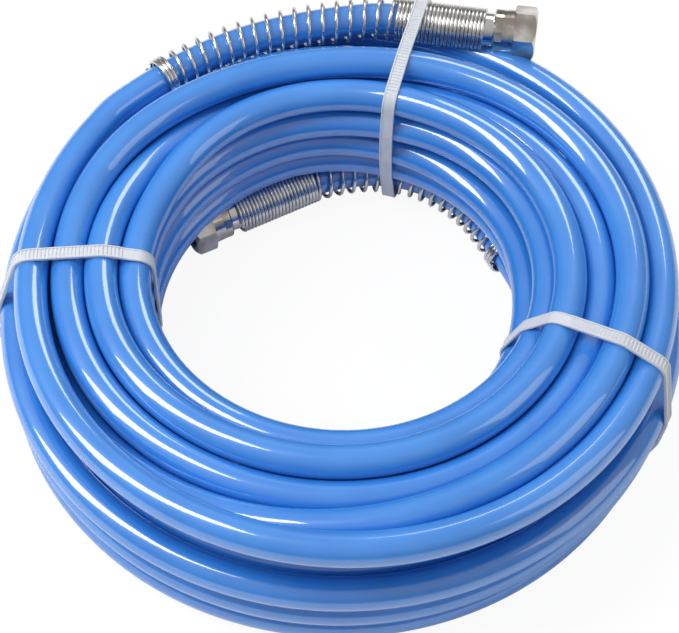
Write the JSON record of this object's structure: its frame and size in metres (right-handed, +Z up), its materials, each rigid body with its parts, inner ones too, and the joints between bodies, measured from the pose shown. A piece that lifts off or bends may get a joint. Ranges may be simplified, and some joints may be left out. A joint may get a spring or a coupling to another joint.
{
  "type": "airless paint sprayer hose",
  "caption": "Coiled high-pressure paint hose with a spring-guarded swivel nut on each end, held in a neat ring by plastic cable ties.",
  "frame": {"origin": "on the axis of the coil, in the plane that the cable ties rest on", "axes": "+Z up along the coil's axis, +X to the outer nut's side, -Y to the side that the coil is seen from"},
  "size_m": [0.2354, 0.2316, 0.0725],
  "materials": {
    "hose_cover": "glossy blue extruded cover",
    "core_tube": "natural nylon core tube",
    "braid": "textile braid",
    "plated_steel": "bright nickel plate",
    "spring_steel": "bright plated spring wire",
    "nylon": "natural translucent nylon"
  },
  "bodies": {
    "hose": {"hose_coil": "hose_cover", "inner_hose_end": "hose_cover", "outer_hose_end": "hose_cover", "inner_core_tube": "core_tube", "outer_core_tube": "core_tube", "inner_braid": "braid", "outer_braid": "braid", "inner_stem": "plated_steel", "outer_stem": "plated_steel", "inner_ferrule": "plated_steel", "outer_ferrule": "plated_steel", "inner_spring_guard": "spring_steel", "outer_spring_guard": "spring_steel", "back_tie": "nylon", "left_tie": "nylon", "right_tie": "nylon"},
    "inner_nut": {"inner_swivel_nut": "plated_steel"},
    "outer_nut": {"outer_swivel_nut": "plated_steel"}
  },
  "joints": [
    {"name": "inner_nut_swivel", "type": "hinge", "parent": "hose", "child": "inner_nut", "pos_m": [-0.05473, 0.04377, 0.01022], "axis": [0.8953, 0.4454, 0], "continuous": true},
    {"name": "outer_nut_swivel", "type": "hinge", "parent": "hose", "child": "outer_nut", "pos_m": [0.06982, 0.09356, 0.06011], "axis": [-0.9902, 0.1396, 0], "continuous": true}
  ]
}
